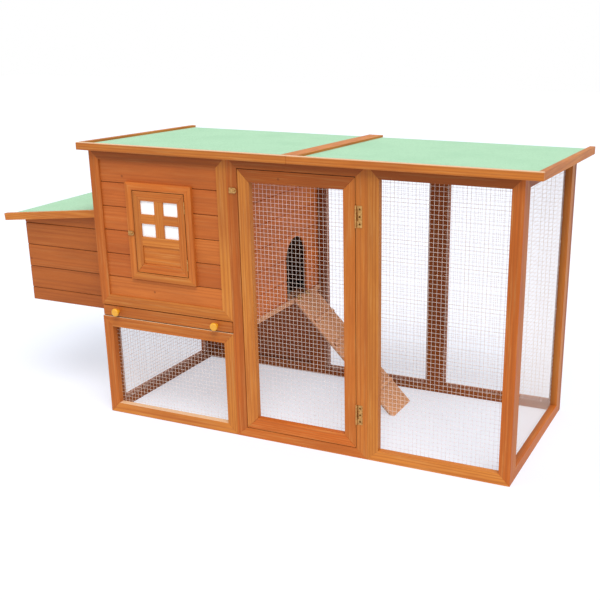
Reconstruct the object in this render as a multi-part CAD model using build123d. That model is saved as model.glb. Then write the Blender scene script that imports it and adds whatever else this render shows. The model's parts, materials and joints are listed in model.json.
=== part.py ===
from build123d import *
import math
import os

# A wooden rabbit hutch: a raised house on the left with a nest box on its end, and a run with
# a door on its right, under one low roof. Millimetres. X runs along the front, Y from the front
# to the back, Z up. Sizes are laid out from the front left corner of the house, on the ground,
# and each finished piece is moved so that the origin is on the ground under the hutch's middle.

# Plan and heights
house_width = 570
door_bay_width = 520
run_bay_width = 510
depth = 713
front_height = 1020           # roof's underside at the front face
roof_slope = 1.68             # degrees, falling to the back
lower_panel_height = 392      # mesh panel under the house
tray_slot_height = 46         # between the lower panel and the house's front panel
sill_height = 402             # doorway sill, top of the ledge that carries the partition

# Frame timber
timber = 25                   # thickness
stile = 40                    # width
door_frame_stile = 41
door_frame_rail = 36
glue_gap = 0.1                # each member's end to the mitre's plane

# Tongue and groove boards
board = 10
board_pitch = 87.5
house_first_course = 72.5     # visible height of the lowest front board
nest_first_course = 49.5
side_first_course = 79
board_recess = 6              # boards lie this far behind the frame's face
groove_depth = 8
groove_side_gap = 0.2
groove_end_gap = 1.0
tongue_length = 4
tongue_thickness = 3
tongue_gap = 0.2
joint_bevel = 2.6             # the V along each joint
board_gap = 0.4

# Welded mesh
wire = 1.0
mesh_pitch = 15
mesh_lap = 10                 # how far a sheet lies on its frame

# Door of the run
door_gap = 2
door_stile = 43

# Window in the house's front
window_left = 179             # opening in the boards
window_width = 221
window_gap_above = 139        # opening's top to the panel's top
window_gap_below = 142
window_gap = 2
trim_width = 27
trim_thickness = 12
leaf_thickness = 16
leaf_stile = 30
leaf_rail = 34
cross_upright = 37
cross_bar = 34
lock_rail = 32
pane_share = 0.21             # each row of panes, of the leaf's inside height
pane_thickness = 2
pane_recess = 5               # behind the leaf's face
leaf_panel_recess = 4
leaf_panel_thickness = 6

# Hinges
knuckle_radius = 3
leaf_gauge = 1.2
hinge_offset = 3.4            # axis to the face that the leaf lies on
hinge_pin_radius = 1.3
hinge_pin_gap = 0.06
knuckle_relief = 0.6
knuckle_end_gap = 0.25
pin_head_radius = 2.1
pin_head_thickness = 1
door_hinge_height = 72
door_hinge_width = 22
door_hinge_inset = 90         # door's end to the nearer end of a hinge
window_hinge_height = 40
window_hinge_width = 14
window_knuckle_radius = 1.8
window_knuckle_out = 1.9      # axis in front of the leaf's face
window_leaf_gauge = 0.8
window_pin_radius = 0.9
window_pin_head = 1.3
window_hinge_inset = 26
lid_hinge_height = 50
lid_hinge_width = 26
lid_hinge_inset = 90
ramp_hinge_height = 28
ramp_hinge_width = 18
ramp_hinge_places = (468, 540)   # from the front face to the near end of each

# Turn buttons
button_thickness = 2
button_stand_off = 1.5
button_screw_radius = 2
button_screw_gap = 0.06
button_head_radius = 4
button_head_height = 2.4
button_head_gap = 0.1
button_screw_length = 12
pilot_gap = 0.05
door_button_width = 19
door_button_tail = 20         # from the pivot to the tail's end
door_button_edge = 11         # pivot to the edge of the door's opening
door_button_drop = 112        # pivot below the panel's top
window_button_width = 17
window_button_tail = 16
window_button_edge = 9.5
window_button_share = 0.48    # pivot's height, of the opening's height

# Floor and tray
ledge_height = 20
ledge_out = 8                 # beyond the partition's face
ledge_in = 12                 # inside the partition's battens
floor_thickness = 9
floor_drop = 10               # floor's top below the doorway sill
bearer = 20
tray_gap = 3                  # around the tray's front board
tray_front_thickness = 18
tray_front_recess = 2
pan_sheet = 0.8
pan_rim = 12
pan_gap = 2
pan_lift = 1
pan_back_gap = 8
knob_inset = 67
knob_stem_radius = 7
knob_stem_length = 8
knob_radius = 15
knob_neck_radius = 11
knob_head_length = 16
knob_rounding = 3

# Doorways and ramp
doorway_width = 166
doorway_height = 240
doorway_middle = 494          # from the front face
nest_doorway_middle = 356.5
ramp_width = 170
ramp_middle = 541             # at its top
ramp_slant = 68               # the foot stands this much nearer the front
ramp_reach = 455              # on the ground, from the ledge to the foot
ramp_thickness = 14
ramp_ledge_gap = 3
ramp_ground_gap = 0.5
cleat_width = 14
cleat_thickness = 7
cleat_inset = 4
cleat_first = 118             # along the ramp from its top
cleat_pitch = 122
cleat_count = 4

# Main roof
strip_thickness = 20          # fascias and end strips
strip_height = 27
strip_drop = 8                # below the deck's underside
fascia_gap = 1
deck_thickness = 9
felt_thickness = 2
roof_overhang_left = 37
roof_overhang_right = 58
roof_overhang_back = 17
deck_set_back = 8             # deck's back edge behind the end strips' ends
joint_strip_width = 58
joint_strip_thickness = 8

# Nest box
nest_length = 402
nest_set_back = 80            # front face of the box behind the house's front face
nest_floor_height = 388
nest_post = 20
lid_slope = 6                 # degrees, falling away from the house
lid_wall_height = 763         # lid's underside at the house wall
lid_overhang_end = 85
lid_strip_gap = 1
lid_hinge_gap = 2
lid_swing_gap = 4.5           # between the rail's start and its end strips

# Places worked out from the sizes above
length = house_width + door_bay_width + run_bay_width
side_length = depth - 2 * timber
upper_panel_bottom = lower_panel_height + tray_slot_height
window_bottom = upper_panel_bottom + window_gap_below
window_height = front_height - window_gap_above - window_bottom
window_button_height = window_bottom + window_button_share * window_height
door_button_height = front_height - door_button_drop
door_bay_left = house_width
run_bay_left = house_width + door_bay_width
nest_back = depth - nest_set_back
roof_left = -roof_overhang_left
roof_right = length + roof_overhang_right
roof_front = -fascia_gap - strip_thickness
roof_length_back = depth + roof_overhang_back
roof_middle = (roof_left + roof_right) / 2
lid_end = -(nest_length + lid_overhang_end)
window_face = board_recess - trim_thickness
ledge_inner = house_width - board - timber - ledge_in
floor_top = sill_height - floor_drop
between_panels = (timber, depth - timber)
tray_face = tray_front_recess - knob_stem_length - knob_head_length
far = 5000                    # larger than the hutch, for trimming

front_reach = min(tray_face, roof_front)
origin = Pos(-(lid_end + roof_right) / 2, -(front_reach + roof_length_back) / 2, 0)
roof_place = Pos(0, 0, front_height) * Rot(-roof_slope, 0, 0)
lid_place = Pos(0, 0, lid_wall_height) * Rot(0, -lid_slope, 0)

# A wall panel is drawn as seen from outside: X to the right, its face at Y = 0, Y going in
door_place = Pos(door_bay_left, 0, 0)
run_place = Pos(run_bay_left, 0, 0)
left_place = Pos(0, depth - timber, 0) * Rot(0, 0, -90)
right_place = Pos(length, timber, 0) * Rot(0, 0, 90)
back_house_place = Pos(house_width, depth, 0) * Rot(0, 0, 180)
back_middle_place = Pos(run_bay_left, depth, 0) * Rot(0, 0, 180)
back_right_place = Pos(length, depth, 0) * Rot(0, 0, 180)
partition_place = Pos(house_width, timber, 0) * Rot(0, 0, 90)
nest_front_place = Pos(-nest_length, nest_set_back, 0)
nest_back_place = Pos(0, nest_back, 0) * Rot(0, 0, 180)
nest_end_place = Pos(-nest_length, nest_back - board, 0) * Rot(0, 0, -90)
window_pivot = Pos(window_left - window_button_edge, window_face, window_button_height)
door_pivot = door_place * Pos(door_frame_stile - door_button_edge, 0, door_button_height)


def roof_underside(y):
    return front_height - y * math.tan(math.radians(roof_slope))


front_inner_top = roof_underside(timber)
rear_inner_top = roof_underside(depth - timber)


def block(x, y, z):
    """A box from (low, high) pairs."""
    middle = [(low + high) / 2 for low, high in (x, y, z)]
    size = [high - low for low, high in (x, y, z)]
    return Pos(*middle) * Box(*size)


def slab(outline, low, high):
    """An outline in X and Z, thick from low to high in Y."""
    edge = Polyline(*[(x, low, z) for x, z in outline], close=True)
    return extrude(make_face(edge), high - low, dir=(0, 1, 0))


def sheet(outline, low, high):
    """An outline in X and Y, thick from low to high in Z."""
    edge = Polyline(*[(x, y, low) for x, y in outline], close=True)
    return extrude(make_face(edge), high - low, dir=(0, 0, 1))


def rod(radius, low, high, x=0, z=0):
    """A cylinder along Y."""
    return Pos(x, (low + high) / 2, z) * Rot(90, 0, 0) * Cylinder(radius, high - low)


def solids_of(shapes):
    return [solid for shape in shapes if shape is not None for solid in shape.solids()]


def placed(places, *shapes):
    return [place * shape for place in places for shape in shapes]


def cut(shapes, *cutters):
    """The shapes with every cutter taken out; a shape that is cut through becomes two solids."""
    for cutter in cutters:
        shapes = solids_of([shape - cutter for shape in shapes])
    return shapes


def kept(shapes, room):
    """The parts of the shapes that lie in a room."""
    return solids_of([shape & room for shape in shapes])


above_roof = roof_place * block((-far, far), (-far, far), (0, far))
above_lid = lid_place * block((-far, far), (-far, far), (0, far))


def save(name, shapes):
    """Write one sub-part, moved to the hutch's own origin."""
    pieces = [origin * solid for solid in solids_of(shapes)]
    whole = pieces[0] if len(pieces) == 1 else Compound(children=pieces)
    export_step(whole, os.path.join("parts", name + ".step"))


# Panels


class Panel:
    """The outline of a framed panel, whose top may slope from one side to the other."""

    def __init__(self, width, top_left, top_right, bottom=0, side=stile, rail=stile):
        self.width = width
        self.bottom = bottom
        self.tops = (top_left, top_right)
        self.side = side
        self.rail = rail

    def top(self, x):
        left, right = self.tops
        return left + (right - left) * x / self.width

    def inset(self, side, rail):
        left = side
        right = self.width - side
        low = self.bottom + rail
        highs = [(x, self.top(x) - rail) for x in (right, left)]
        return [(left, low), (right, low)] + highs

    def frame(self):
        """Two stiles and two rails, mitred at the corners."""
        return mitred_frame(self.inset(0, 0), self.inset(self.side, self.rail), 0, timber)

    def opening(self, lap):
        """The panel's opening, larger all round by a lap."""
        return self.inset(self.side - lap, self.rail - lap)

    def groove(self, recess):
        face = recess - groove_side_gap if recess else recess
        return slab(self.opening(groove_depth), face, recess + board + groove_side_gap)

    def boards(self, recess, first):
        """Boards whose ends and edges lie in the frame's groove."""
        outline = self.opening(groove_depth - groove_end_gap)
        room = slab(outline, recess, recess + board)
        low = self.bottom + self.rail
        layers = courses(self.width, low, max(self.tops) - self.rail, first, recess)
        return kept(layers, room)

    def mesh(self):
        """A rectangular welded sheet behind the frame, on its back face."""
        left = self.side - mesh_lap
        low = self.bottom + self.rail - mesh_lap
        high = min(max(self.tops) - self.rail + mesh_lap, min(self.tops))
        return placed([Pos(left, timber, low)], *mesh_sheet(self.width - 2 * left, high - low))


def board_profile(low, high):
    """Section of a board in Y and Z: groove below, tongue above, bevelled face."""
    middle = board / 2
    slot = tongue_thickness / 2 + tongue_gap
    tongue = tongue_thickness / 2
    slot_top = low + tongue_length + tongue_gap
    return [
        (joint_bevel, low), (middle - slot, low), (middle - slot, slot_top), (middle + slot, slot_top),
        (middle + slot, low), (board, low), (board, high), (middle + tongue, high),
        (middle + tongue, high + tongue_length), (middle - tongue, high + tongue_length),
        (middle - tongue, high), (joint_bevel, high), (0, high - joint_bevel), (0, low + joint_bevel),
    ]


def courses(width, low, high, first, recess=0):
    """Courses of boards laid up from below low until they pass high."""
    pieces = []
    bottom = low + first - board_pitch
    while bottom < high:
        profile = board_profile(bottom, bottom + board_pitch - board_gap)
        outline = [(0, recess + y, z) for y, z in profile]
        section = make_face(Polyline(*outline, close=True))
        pieces.append(extrude(section, width, dir=(1, 0, 0)))
        bottom += board_pitch
    return pieces


def wire_places(span):
    """Evenly spaced places along a span, with equal ends left over."""
    count = int(span // mesh_pitch)
    start = (span - count * mesh_pitch) / 2
    return [start + step * mesh_pitch for step in range(count + 1)]


def mesh_sheet(width, height):
    """Upright wires with cross wires welded on behind them."""
    uprights = [block((x, x + wire), (0, wire), (0, height)) for x in wire_places(width - wire)]
    cross = [block((0, width), (wire, 2 * wire), (z, z + wire)) for z in wire_places(height - wire)]
    return uprights + cross


def mitred_frame(outside, inside, low, high):
    """Four members between an outer and an inner outline, met at the corners in mitres."""
    members = []
    for here in range(4):
        there = (here + 1) % 4
        start, end = Vector(*outside[here]), Vector(*outside[there])
        short = (end - start).normalized() * glue_gap
        inner = [Vector(*inside[there]) - short, Vector(*inside[here]) + short]
        outline = [start + short, end - short] + inner
        members.append(slab([(point.X, point.Y) for point in outline], low, high))
    return members


def rectangle(left, right, low, high):
    return [(left, low), (right, low), (right, high), (left, high)]


def doorway(middle, bottom):
    """A round-topped way through a wall, in a panel's own X and Z."""
    radius = doorway_width / 2
    spring = bottom + doorway_height - radius
    through = (-timber, 2 * timber)
    straight = block((middle - radius, middle + radius), through, (bottom, spring))
    return straight + rod(radius, *through, middle, spring)


# Hinges: drawn with the pin's axis along Z at the origin, on wood whose face is at Y = offset.
# The fixed leaf lies along +X on that wood.


class HingeMake:
    """Sizes shared by a hinge's leaves and its pin."""

    def __init__(self, radius, gauge, offset, pin_radius, head_radius):
        self.radius = radius
        self.gauge = gauge
        self.offset = offset
        self.pin_radius = pin_radius
        self.head_radius = head_radius
        self.relief = max(radius, offset) + knuckle_relief


surface_make = HingeMake(knuckle_radius, leaf_gauge, hinge_offset, hinge_pin_radius, pin_head_radius)
butt_make = HingeMake(
    window_knuckle_radius, window_leaf_gauge, window_gap / 2, window_pin_radius, window_pin_head
)


def upright_rod(radius, low, high):
    return Pos(0, 0, (low + high) / 2) * Cylinder(radius, high - low)


def knuckle_spans(height):
    """Low and high ends of three knuckles: the outer two are the fixed leaf's."""
    third = height / 3
    gap = knuckle_end_gap / 2
    return [(step * third + gap, (step + 1) * third - gap) for step in range(3)]


def hinge_leaf(make, height, width, owned, mirrored, angle):
    """One leaf with its knuckles, turned about the pin by an angle."""
    spans = knuckle_spans(height)
    plate = block((0, width), (make.offset - make.gauge, make.offset), (spans[0][0], spans[2][1]))
    for index, (low, high) in enumerate(spans):
        if index not in owned:
            plate -= upright_rod(make.relief, low - knuckle_end_gap, high + knuckle_end_gap)
    if mirrored:
        plate = mirror(plate, Plane.YZ)
    leaf = Rot(0, 0, angle) * plate
    for index in owned:
        leaf += upright_rod(make.radius, *spans[index])
    return leaf - upright_rod(make.pin_radius + hinge_pin_gap, -far, far)


def hinge_pin(make, height):
    """A pin whose two heads sit on the ends of the outer knuckles."""
    spans = knuckle_spans(height)
    low = spans[0][0]
    high = spans[2][1]
    pin = upright_rod(make.pin_radius, low, high)
    pin += upright_rod(make.head_radius, low - pin_head_thickness, low)
    return pin + upright_rod(make.head_radius, high, high + pin_head_thickness)


def hinges(name, make, height, width, moving_angle, mirrored, places):
    """Write the moving leaves at several places; give back the fixed leaves and the pins."""
    moving = hinge_leaf(make, height, width, (1,), mirrored, moving_angle)
    save(name + "_hinge_moving_leaves", placed(places, moving))
    fixed = hinge_leaf(make, height, width, (0, 2), False, 0)
    return placed(places, fixed), placed(places, hinge_pin(make, height))


# Turn buttons: the pivot is on a face at Y = 0 and the tail points to -X


def turn_button(width, tail):
    front = -button_stand_off - button_thickness
    half = width / 2
    plate = block((-tail, 0), (front, -button_stand_off), (-half, half))
    plate += rod(half, front, -button_stand_off)
    return plate - rod(button_screw_radius + button_screw_gap, -far, far)


def button_screw():
    """A shoulder screw with a collar behind the button and a head in front of it."""
    collar_front = -button_stand_off + button_head_gap
    head_back = -button_stand_off - button_thickness - button_head_gap
    screw = rod(button_screw_radius, head_back, button_screw_length)
    screw += rod(button_head_radius, head_back - button_head_height, head_back)
    return screw + rod(button_head_radius, collar_front, 0)


def pilot_hole():
    return rod(button_screw_radius + pilot_gap, -timber, button_screw_length)


# House


def house_front():
    """The framed and boarded panel above the tray, with the trim round its window."""
    panel = Panel(house_width, front_height, front_height, bottom=upper_panel_bottom)
    save("house_front_frame", cut(panel.frame(), panel.groove(board_recess), above_roof))
    right = window_left + window_width
    top = window_bottom + window_height
    hole = block((window_left, right), (-timber, 2 * timber), (window_bottom, top))
    save("house_front_boards", cut(panel.boards(board_recess, house_first_course), hole))
    inside = rectangle(window_left, right, window_bottom, top)
    outside = rectangle(
        window_left - trim_width, right + trim_width, window_bottom - trim_width, top + trim_width
    )
    strips = mitred_frame(outside, inside, window_face, board_recess)
    save("window_trim", cut(strips, window_pivot * pilot_hole()))


def window_leaf():
    """The hinged leaf: mitred frame, glazing cross with a lock rail, lower panel and pane."""
    left = window_left + window_gap
    right = window_left + window_width - window_gap
    bottom = window_bottom + window_gap
    top = window_bottom + window_height - window_gap
    back = window_face + leaf_thickness
    inner_left = left + leaf_stile
    inner_right = right - leaf_stile
    inner_low = bottom + leaf_rail
    inner_top = top - leaf_rail
    inside = rectangle(inner_left, inner_right, inner_low, inner_top)
    outside = rectangle(left, right, bottom, top)
    save("window_leaf_frame", mitred_frame(outside, inside, window_face, back))

    pane_height = pane_share * (inner_top - inner_low)
    pane_low = inner_top - cross_bar - 2 * pane_height
    rail_low = pane_low - lock_rail
    depths = (window_face, window_face + pane_recess)
    middle = (inner_left + inner_right) / 2
    upright = (middle - cross_upright / 2, middle + cross_upright / 2)
    beside = (upright[0] - glue_gap, upright[1] + glue_gap)
    bar = (pane_low + pane_height, inner_top - pane_height)
    cross = [
        block(upright, depths, (pane_low + glue_gap, inner_top)),
        block((inner_left, beside[0]), depths, bar),
        block((beside[1], inner_right), depths, bar),
        block((inner_left, inner_right), (window_face, back), (rail_low, pane_low)),
    ]
    save("window_cross", cross)
    pane_depths = (depths[1], depths[1] + pane_thickness)
    save("window_pane", [block((inner_left, inner_right), pane_depths, (pane_low, inner_top))])
    panel_face = window_face + leaf_panel_recess
    panel_depths = (panel_face, panel_face + leaf_panel_thickness)
    save("window_lower_panel", [block((inner_left, inner_right), panel_depths, (inner_low, rail_low))])

    highs = (bottom + window_hinge_inset + window_hinge_height, top - window_hinge_inset)
    axis = Pos(right + window_gap / 2, window_face - window_knuckle_out, 0)
    places = [axis * Pos(0, 0, high) * Rot(0, 0, 90) * Rot(180, 0, 0) for high in highs]
    save("window_turn_button", [window_pivot * turn_button(window_button_width, window_button_tail)])
    return hinges("window", butt_make, window_hinge_height, window_hinge_width, 180, True, places)


def lower_front():
    panel = Panel(house_width, lower_panel_height, lower_panel_height)
    save("lower_front_frame", panel.frame())
    save("lower_front_mesh", panel.mesh())


def left_side():
    """One frame with a middle rail: boards with the nest's doorway above, mesh below."""
    whole = Panel(side_length, rear_inner_top, front_inner_top)
    upper = Panel(side_length, rear_inner_top, front_inner_top, bottom=sill_height - stile)
    lower = Panel(side_length, sill_height, sill_height)
    rail_ends = (stile + glue_gap, side_length - stile - glue_gap)
    rail = block(rail_ends, (0, timber), (sill_height - stile, sill_height))
    frame = cut(whole.frame() + [rail], upper.groove(0))
    save("left_side_frame", placed([left_place], *frame))
    save("left_lower_mesh", placed([left_place], *lower.mesh()))
    hole = doorway(depth - timber - nest_doorway_middle, sill_height)
    save("left_side_boards", placed([left_place], *cut(upper.boards(0, side_first_course), hole)))


def back_of_house():
    panel = Panel(house_width, rear_inner_top, rear_inner_top)
    frame = placed([back_house_place], *cut(panel.frame(), panel.groove(board_recess)))
    save("back_house_frame", cut(frame, above_roof))
    boards = placed([back_house_place], *panel.boards(board_recess, side_first_course))
    save("back_house_boards", cut(boards, above_roof))


def partition():
    """Boards and battens between the house and the run."""
    outline = [(0, sill_height), (side_length, sill_height)]
    outline += [(side_length, rear_inner_top), (0, front_inner_top)]
    room = slab(outline, 0, board)
    layers = courses(side_length, sill_height, front_inner_top, side_first_course)
    boards = cut(kept(layers, room), doorway(doorway_middle - timber, sill_height))
    save("partition_boards", placed([partition_place], *boards))
    battens = []
    for low in (0, side_length - stile):
        battens.append(block((low, low + stile), (board, board + timber), (sill_height, front_height)))
    save("partition_battens", cut(placed([partition_place], *battens), above_roof))


def floor():
    """A sheet on two bearers, and beside it the ledge that carries the partition and the ramp."""
    under = floor_top - floor_thickness
    save("house_floor", [block((timber, ledge_inner), between_panels, (under, floor_top))])
    lefts = (timber + 2 * wire, ledge_inner - bearer)
    supports = [block((left, left + bearer), between_panels, (under - bearer, under)) for left in lefts]
    across = (ledge_inner, house_width + ledge_out)
    supports.append(block(across, between_panels, (sill_height - ledge_height, sill_height)))
    save("floor_supports", supports)


def tray():
    """A front board with two knobs and a folded sheet pan fixed behind it."""
    low = lower_panel_height + tray_gap
    high = upper_panel_bottom - tray_gap
    ends = (tray_gap, house_width - tray_gap)
    back = tray_front_recess + tray_front_thickness
    save("tray_front", [block(ends, (tray_front_recess, back), (low, high))])
    across = (timber + pan_gap, ledge_inner - pan_gap)
    along = (back, depth - timber - pan_back_gap)
    pan_low = floor_top + pan_lift
    shell = block(across, along, (pan_low, pan_low + pan_rim))
    hollow = [(start + pan_sheet, end - pan_sheet) for start, end in (across, along)]
    save("tray_pan", [shell - block(*hollow, (pan_low + pan_sheet, pan_low + 2 * pan_rim))])
    middle = (low + high) / 2
    places = [Pos(x, tray_front_recess, middle) for x in (ends[0] + knob_inset, ends[1] - knob_inset)]
    save("tray_knobs", placed(places, knob()))


def knob():
    """A turned knob: a stem, a flared neck and a rounded head, standing out along -Y."""
    head_back = -knob_stem_length
    head_front = head_back - knob_head_length
    profile = [
        (0, 0), (knob_stem_radius, 0), (knob_stem_radius, head_back), (knob_neck_radius, head_back),
        (knob_radius, head_back - knob_head_length / 2), (knob_radius, head_front + knob_rounding),
        (knob_radius - knob_rounding, head_front), (0, head_front),
    ]
    section = make_face(Polyline(*profile, close=True))
    return revolve(section, Axis.Y)


# Run


def door_bay():
    heights = (front_height, front_height)
    frame = Panel(door_bay_width, *heights, side=door_frame_stile, rail=door_frame_rail)
    members = placed([door_place], *frame.frame())
    save("door_bay_frame", cut(members, above_roof, door_pivot * pilot_hole()))
    save("button_screws", placed([door_pivot, window_pivot], button_screw()))
    save("door_turn_button", [door_pivot * turn_button(door_button_width, door_button_tail)])


def run_door():
    """A framed leaf with mesh behind it, on two butt hinges."""
    left = door_frame_stile + door_gap
    width = door_bay_width - 2 * left
    bottom = door_frame_rail + door_gap
    top = front_height - bottom
    leaf = Panel(width, top, top, bottom=bottom, side=door_stile, rail=door_stile)
    place = door_place * Pos(left, 0, 0)
    save("run_door_frame", placed([place], *leaf.frame()))
    save("run_door_mesh", placed([place], *leaf.mesh()))
    lows = (bottom + door_hinge_inset, top - door_hinge_inset - door_hinge_height)
    places = [place * Pos(width + hinge_offset, -hinge_offset, low) for low in lows]
    return hinges("door", surface_make, door_hinge_height, door_hinge_width, 90, False, places)


def mesh_panel(name, panel, place):
    save(name + "_frame", cut(placed([place], *panel.frame()), above_roof))
    save(name + "_mesh", placed([place], *panel.mesh()))


def run_walls():
    mesh_panel("run_front", Panel(run_bay_width, front_height, front_height), run_place)
    mesh_panel("back_middle", Panel(door_bay_width, rear_inner_top, rear_inner_top), back_middle_place)
    mesh_panel("back_right", Panel(run_bay_width, rear_inner_top, rear_inner_top), back_right_place)
    mesh_panel("right_end", Panel(side_length, front_inner_top, rear_inner_top), right_place)


def ramp():
    """A plank with cleats, hinged on the ledge under the doorway, its foot on the ground."""
    top_x = house_width + ledge_out + ramp_ledge_gap
    drop = sill_height - ramp_ground_gap
    angle = math.degrees(math.atan2(drop, ramp_reach))
    length_down = math.hypot(drop, ramp_reach)
    spare = 2 * ramp_thickness

    def strip(low, high, inset, heights):
        """A length of the plank's width, with its ends level and its sides slanted."""
        shift = -ramp_slant / length_down
        near = ramp_middle - ramp_width / 2 + inset
        other = ramp_middle + ramp_width / 2 - inset
        corners = [(low, near + shift * low), (high, near + shift * high)]
        corners += [(high, other + shift * high), (low, other + shift * low)]
        return sheet(corners, *heights)

    place = Pos(top_x, 0, sill_height + hinge_offset) * Rot(0, angle, 0) * Pos(0, 0, -hinge_offset)
    plank = place * strip(-spare, length_down + spare, 0, (-ramp_thickness, 0))
    plank -= block((-far, top_x), (-far, far), (-far, far))
    plank -= block((-far, far), (-far, far), (-far, ramp_ground_gap))
    save("ramp_plank", [plank])
    starts = [cleat_first + step * cleat_pitch for step in range(cleat_count)]
    cleats = [strip(start, start + cleat_width, cleat_inset, (0, cleat_thickness)) for start in starts]
    save("ramp_cleats", placed([place], *cleats))
    turn = Rot(0, 0, 180) * Rot(-90, 0, 0)
    ends = [near + ramp_hinge_height for near in ramp_hinge_places]
    places = [Pos(top_x, end, sill_height + hinge_offset) * turn for end in ends]
    return hinges("ramp", surface_make, ramp_hinge_height, ramp_hinge_width, -angle, True, places)


# Roofs


def roof():
    """Two decks with felt, edged by end strips and front fascias, with a strip over their joint."""
    on_felt = deck_thickness + felt_thickness
    strip_heights = (-strip_drop, strip_height - strip_drop)
    slope = math.radians(roof_slope)
    slope_back = (roof_length_back - strip_heights[1] * math.sin(slope)) / math.cos(slope)
    depths = (glue_gap - fascia_gap, slope_back - deck_set_back)
    left_end = (roof_left, roof_left + strip_thickness)
    right_end = (roof_right - strip_thickness, roof_right)
    left_half = (left_end[1] + glue_gap, roof_middle - glue_gap)
    right_half = (roof_middle + glue_gap, right_end[0] - glue_gap)
    for name, across in (("left", left_half), ("right", right_half)):
        save("roof_deck_" + name, [roof_place * block(across, depths, (0, deck_thickness))])
        save("roof_felt_" + name, [roof_place * block(across, depths, (deck_thickness, on_felt))])
    fascia_depths = (roof_front, -fascia_gap)
    halves = ((roof_left, roof_middle - glue_gap), (roof_middle + glue_gap, roof_right))
    save("roof_fascias", [roof_place * block(half, fascia_depths, strip_heights) for half in halves])
    full = (glue_gap - fascia_gap, slope_back)
    ends = [block(end, full, strip_heights) for end in (left_end, right_end)]
    save("roof_end_strips", placed([roof_place], *ends))
    half = joint_strip_width / 2
    across = (roof_middle - half, roof_middle + half)
    joint = block(across, full, (on_felt, on_felt + joint_strip_thickness))
    save("roof_joint_strip", [roof_place * joint])
    half = stile / 2
    rafter = roof_place * block((roof_middle - half, roof_middle + half), (0, depth), (-timber, 0))
    save("roof_rafter", kept([rafter], block((0, length), between_panels, (0, 2 * front_height))))


def nest_box():
    """A boarded box on the house's end, with posts in its corners and a floor."""
    inner_front = nest_set_back + board
    inner_back = nest_back - board
    inner_end = -nest_length + board
    walls = (
        ("nest_front_boards", nest_length, nest_front_place),
        ("nest_back_boards", nest_length, nest_back_place),
        ("nest_end_boards", inner_back - inner_front, nest_end_place),
    )
    for name, width, place in walls:
        room = block((0, width), (0, board), (nest_floor_height, lid_wall_height))
        layers = courses(width, nest_floor_height, lid_wall_height, nest_first_course)
        save(name, cut(placed([place], *kept(layers, room)), above_lid))
    top = nest_floor_height + floor_thickness
    save("nest_floor", [block((inner_end, 0), (inner_front, inner_back), (nest_floor_height, top))])
    posts = []
    for x in (inner_end, -nest_post):
        for y in (inner_front, inner_back - nest_post):
            posts.append(block((x, x + nest_post), (y, y + nest_post), (top, lid_wall_height)))
    save("nest_posts", cut(posts, above_lid))


def nest_lid():
    """Deck, felt and end strips that lift as one, hinged to a rail along the house's wall."""
    on_felt = deck_thickness + felt_thickness
    strip_heights = (-strip_drop, strip_height - strip_drop)
    box = (nest_set_back, nest_back)
    inner = (box[0] - lid_strip_gap, box[1] + lid_strip_gap)
    sides = ((inner[0] - strip_thickness, inner[0]), (inner[1], inner[1] + strip_thickness))
    in_wall = block((0, far), (-far, far), (-far, far))
    rail = block((-stile, stile), inner, (0, on_felt))
    stubs = [block((-stile + lid_swing_gap, stile), side, strip_heights) for side in sides]
    save("nest_hinge_rail", cut(placed([lid_place], rail, *stubs), in_wall))
    slope = math.radians(lid_slope)
    outer_end = (lid_end + strip_heights[1] * math.sin(slope)) / math.cos(slope)
    across = (outer_end, -stile - lid_hinge_gap)
    save("nest_lid_deck", [lid_place * block(across, inner, (0, deck_thickness))])
    save("nest_lid_felt", [lid_place * block(across, inner, (deck_thickness, on_felt))])
    save("nest_lid_strips", [lid_place * block(across, side, strip_heights) for side in sides])
    axis_x = -stile - lid_hinge_gap / 2
    lows = (box[0] + lid_hinge_inset, box[1] - lid_hinge_inset - lid_hinge_height)
    places = [lid_place * Pos(axis_x, low, on_felt + hinge_offset) * Rot(-90, 0, 0) for low in lows]
    return hinges("lid", surface_make, lid_hinge_height, lid_hinge_width, 0, True, places)


os.makedirs("parts", exist_ok=True)
house_front()
lower_front()
left_side()
back_of_house()
partition()
floor()
tray()
door_bay()
run_walls()
roof()
nest_box()
fixed_leaves = []
pins = []
for hung in (window_leaf, run_door, ramp, nest_lid):
    more_leaves, more_pins = hung()
    fixed_leaves += more_leaves
    pins += more_pins
save("hinge_fixed_leaves", fixed_leaves)
save("hinge_pins", pins)
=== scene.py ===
import bmesh
import bpy
import json
import math
import random
from mathutils import Matrix, Vector


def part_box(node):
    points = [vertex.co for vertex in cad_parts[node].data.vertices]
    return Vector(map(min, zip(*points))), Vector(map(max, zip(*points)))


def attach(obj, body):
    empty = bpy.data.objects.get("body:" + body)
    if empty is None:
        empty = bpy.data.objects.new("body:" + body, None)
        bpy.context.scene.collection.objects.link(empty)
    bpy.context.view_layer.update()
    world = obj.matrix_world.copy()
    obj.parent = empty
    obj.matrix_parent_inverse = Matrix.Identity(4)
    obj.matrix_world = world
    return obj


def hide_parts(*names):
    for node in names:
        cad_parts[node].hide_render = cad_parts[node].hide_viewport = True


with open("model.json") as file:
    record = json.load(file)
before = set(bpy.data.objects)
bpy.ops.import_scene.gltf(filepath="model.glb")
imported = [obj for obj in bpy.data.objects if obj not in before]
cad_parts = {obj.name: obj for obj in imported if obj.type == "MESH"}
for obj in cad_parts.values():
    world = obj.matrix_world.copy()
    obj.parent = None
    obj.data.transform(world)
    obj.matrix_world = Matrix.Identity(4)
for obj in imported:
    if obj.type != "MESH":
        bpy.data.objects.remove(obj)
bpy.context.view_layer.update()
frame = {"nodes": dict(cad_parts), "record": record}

cadNodes = frame["nodes"]
record = frame["record"]
bodyOf = {node: body for body, members in record["behaviour"]["bodies"].items() for node in members}
slotOf = {part["node"]: part["material_slot"] for part in record["subparts"]}
jointAt = {joint["name"]: Vector(joint["pos_m"])
           for joint in record["behaviour"]["joints"] if "pos_m" in joint}
mm = 0.001
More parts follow.
